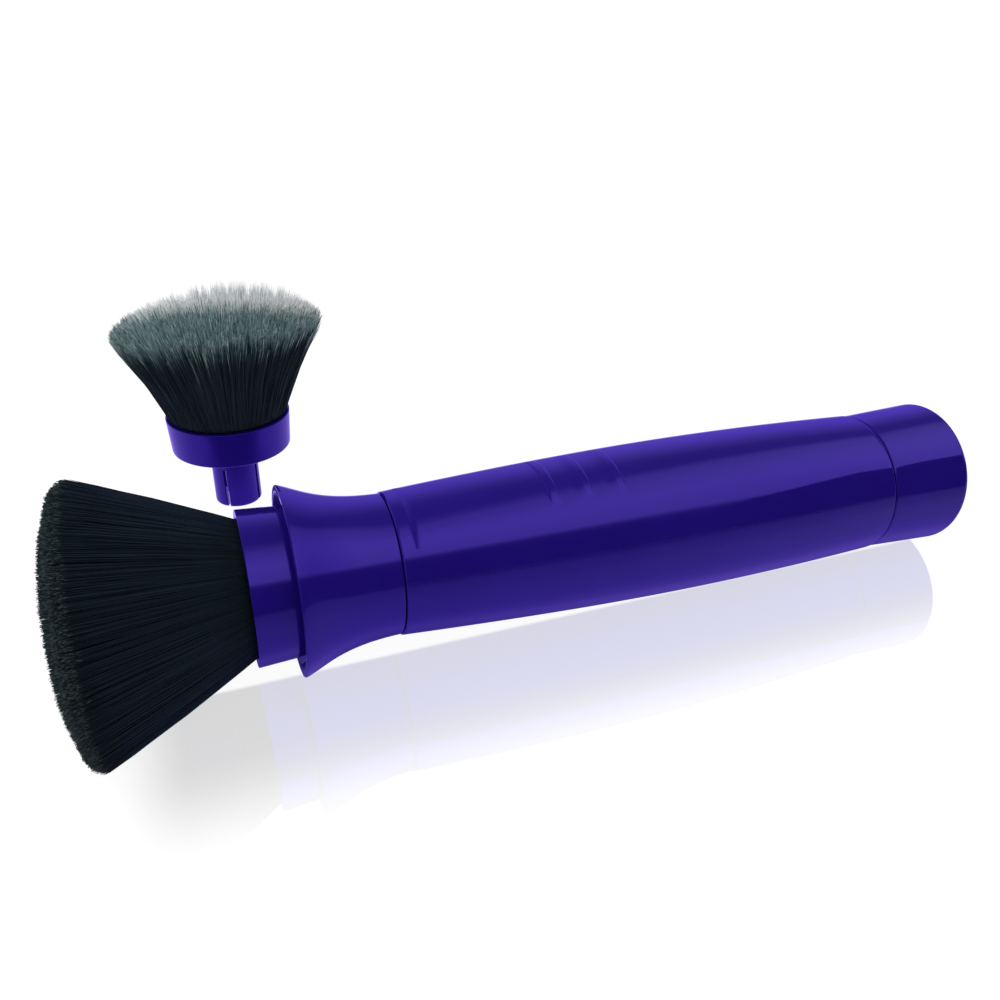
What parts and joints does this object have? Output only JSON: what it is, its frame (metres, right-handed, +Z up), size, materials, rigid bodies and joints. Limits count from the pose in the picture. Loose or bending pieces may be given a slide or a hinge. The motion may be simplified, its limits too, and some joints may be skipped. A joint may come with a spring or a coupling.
{
  "type": "neck duster brush",
  "caption": "Neck duster brush with a hollow bulged handle, flared collar, push-in head of fanned bristles, plug-in rear cap and a spare head standing upright beside it.",
  "frame": {"origin": "centre of the flat end face of the rear cap", "axes": "+X along the handle's axis, out of the rear end face, so the bristles point towards -X; +Z up from the table; the spare head stands on the +Y side"},
  "size_m": [0.1955, 0.1233, 0.0502],
  "materials": {
    "handle_plastic": "gloss",
    "ferrule_plastic": "gloss",
    "socket_plastic": "matte",
    "glue": "satin",
    "dark_bristle": "matte",
    "tipped_bristle": "matte"
  },
  "bodies": {
    "handle": {"barrel_upper_shell": "handle_plastic", "barrel_lower_shell": "handle_plastic", "front_collar": "handle_plastic", "head_socket": "socket_plastic"},
    "fitted_head": {"brush_ferrule": "ferrule_plastic", "tuft_glue_plug": "glue", "bristle_tuft": "dark_bristle"},
    "cap": {"rear_cap": "handle_plastic"},
    "spare_head": {"spare_ferrule": "ferrule_plastic", "spare_tuft_glue_plug": "glue", "spare_bristle_tuft": "tipped_bristle"}
  },
  "joints": [
    {"name": "head_pull", "type": "slide", "parent": "handle", "child": "fitted_head", "axis": [-1, 0, 0], "range_m": [0, 0.06]},
    {"name": "rear_cap_pull", "type": "slide", "parent": "handle", "child": "cap", "axis": [1, 0, 0], "range_m": [0, 0.025]},
    {"name": "spare_head_lift", "type": "slide", "parent": "handle", "child": "spare_head", "axis": [0, 0, 1], "range_m": [0, 0.1]}
  ]
}
